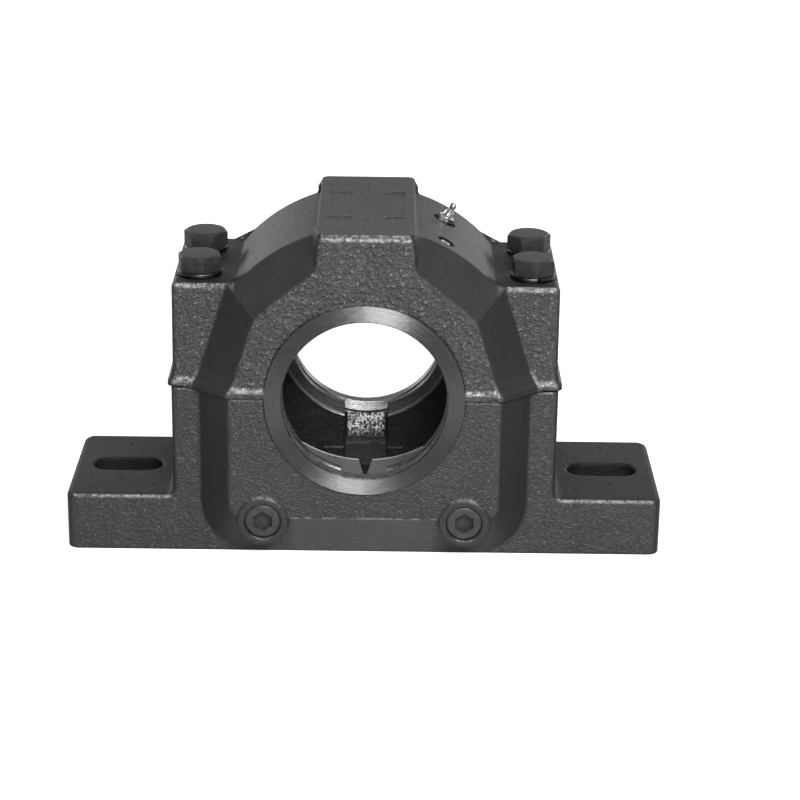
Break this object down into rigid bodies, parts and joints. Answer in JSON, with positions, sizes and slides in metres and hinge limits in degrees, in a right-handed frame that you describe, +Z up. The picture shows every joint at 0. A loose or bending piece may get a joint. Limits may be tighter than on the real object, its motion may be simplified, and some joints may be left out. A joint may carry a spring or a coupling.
{
  "type": "split plummer block housing",
  "caption": "Split cast plummer block housing: base with slotted foot, bolted cap, shaft bore with seal grooves, bearing seat, grease nipple and drain plugs.",
  "frame": {"origin": "middle of the base's underside, below the middle of the bore", "axes": "+X along the foot, +Y along the shaft axis to the side without drain plugs, +Z up"},
  "size_m": [0.55, 0.212, 0.3139],
  "materials": {
    "cast_body": "dark grey paint over rough cast skin, bore and ring faces machined bright",
    "dark_bolt_steel": "dark painted fastener steel",
    "ground_steel": "ground bright",
    "painted_plug": "dark painted pipe plug",
    "plated_steel": "bright zinc plating"
  },
  "bodies": {
    "root": {"housing_base": "cast_body", "housing_cap": "cast_body", "cap_bolt_front_left": "dark_bolt_steel", "cap_bolt_front_right": "dark_bolt_steel", "cap_bolt_back_left": "dark_bolt_steel", "cap_bolt_back_right": "dark_bolt_steel", "spring_washer_front_left": "dark_bolt_steel", "spring_washer_front_right": "dark_bolt_steel", "spring_washer_back_left": "dark_bolt_steel", "spring_washer_back_right": "dark_bolt_steel", "dowel_pin_left": "ground_steel", "dowel_pin_right": "ground_steel", "drain_plug_left": "painted_plug", "drain_plug_right": "painted_plug", "grease_nipple": "plated_steel", "port_plug": "plated_steel"}
  },
  "joints": []
}
